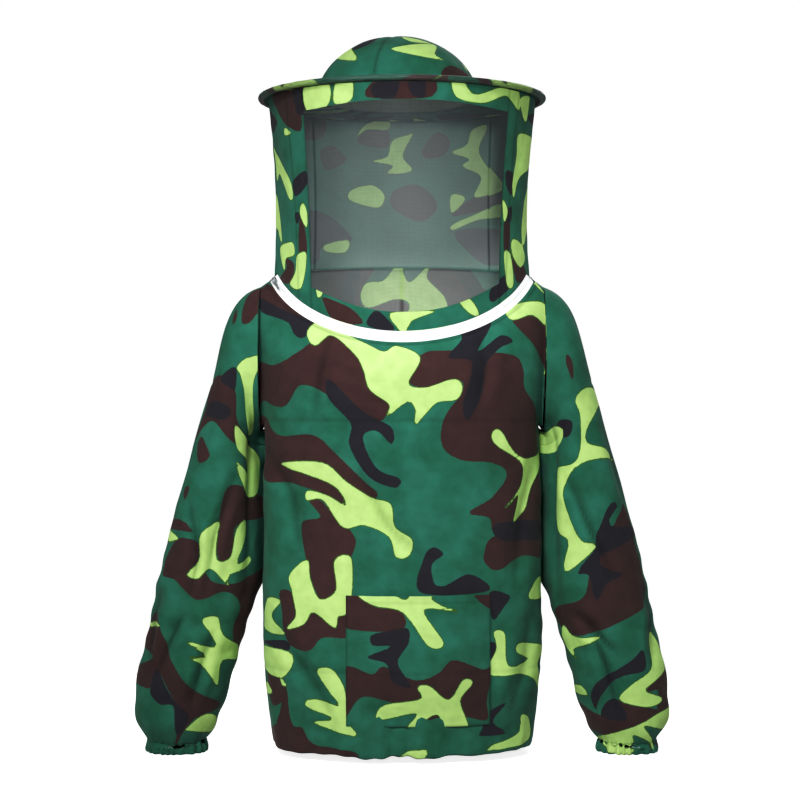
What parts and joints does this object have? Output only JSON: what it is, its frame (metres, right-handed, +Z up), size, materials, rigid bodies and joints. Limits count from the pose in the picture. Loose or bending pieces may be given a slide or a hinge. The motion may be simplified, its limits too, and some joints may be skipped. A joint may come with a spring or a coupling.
{
  "type": "beekeeping jacket",
  "caption": "Pull-on beekeeping jacket with elasticated cuffs and hem, a patch pocket, and a brimmed hat with a netting veil hood that zips to the neckline.",
  "frame": {"origin": "midway between the wearer's shoulders, at shoulder height, where the wearer carries the jacket", "axes": "+X to the wearer's left, +Y to the wearer's back, +Z up"},
  "size_m": [0.747, 0.4, 0.997],
  "materials": {
    "camouflage_cloth": "smooth woven polyester-cotton, four-colour camouflage print",
    "netting": "fine dark see-through netting",
    "zip_tape": "white woven tape",
    "zip_coil": "white nylon coil",
    "zip_metal": "white enamelled die casting",
    "elastic": "knitted elastic",
    "binding_cloth": "folded bias binding in the camouflage cloth, dark with creases",
    "stiffener": "plain stiff interlining",
    "steel_wire": "drawn wire",
    "sweatband_cloth": "dark plain cotton band"
  },
  "bodies": {
    "jacket": {"front_panel": "camouflage_cloth", "back_panel": "camouflage_cloth", "hem_casing": "camouflage_cloth", "hem_elastic": "elastic", "pocket_panel": "camouflage_cloth", "pocket_hem": "camouflage_cloth", "zip_tape_lower": "zip_tape", "zip_coil_lower": "zip_coil", "zip_stop_left": "zip_metal", "zip_stop_right": "zip_metal"},
    "sleeve_left": {"shoulder_left": "camouflage_cloth", "sleeve_left": "camouflage_cloth", "cuff_casing_left": "camouflage_cloth", "cuff_elastic_left": "elastic"},
    "sleeve_right": {"shoulder_right": "camouflage_cloth", "sleeve_right": "camouflage_cloth", "cuff_casing_right": "camouflage_cloth", "cuff_elastic_right": "elastic"},
    "hood": {"zip_tape_upper": "zip_tape", "zip_coil_upper": "zip_coil", "collar_band": "camouflage_cloth", "veil_mesh": "netting", "top_band": "camouflage_cloth", "window_strip_left": "camouflage_cloth", "window_strip_right": "camouflage_cloth", "hood_side_left": "camouflage_cloth", "hood_side_right": "camouflage_cloth", "hood_back": "camouflage_cloth", "brim_top": "camouflage_cloth", "brim_stiffener": "stiffener", "brim_underside": "camouflage_cloth", "brim_wire": "steel_wire", "brim_binding": "binding_cloth", "crown_panel_1": "camouflage_cloth", "crown_panel_2": "camouflage_cloth", "crown_panel_3": "camouflage_cloth", "crown_panel_4": "camouflage_cloth", "sweatband": "sweatband_cloth"},
    "zip_slider": {"zip_slider": "zip_metal"},
    "zip_pull": {"zip_pull": "zip_metal"}
  },
  "joints": [
    {"name": "sleeve_left_raise", "type": "hinge", "parent": "jacket", "child": "sleeve_left", "pos_m": [0.205, 0, 0], "axis": [0, -1, 0], "range_deg": [0, 80]},
    {"name": "sleeve_right_raise", "type": "hinge", "parent": "jacket", "child": "sleeve_right", "pos_m": [-0.205, 0, 0], "axis": [0, 1, 0], "range_deg": [0, 80]},
    {"name": "hood_tilt_back", "type": "hinge", "parent": "jacket", "child": "hood", "pos_m": [0, 0.1195, 0.03], "axis": [-1, 0, 0], "range_deg": [0, 95]},
    {"name": "zip_slider_travel", "type": "hinge", "parent": "jacket", "child": "zip_slider", "pos_m": [0, 0.02507, 0.04847], "axis": [0, -0.6672, 0.7448], "range_deg": [0, 136.8]},
    {"name": "zip_pull_swing", "type": "hinge", "parent": "zip_slider", "child": "zip_pull", "pos_m": [-0.17852, -0.03022, 0.00426], "axis": [-0.6575, 0.2779, -0.7004], "range_deg": [0, 150]}
  ]
}
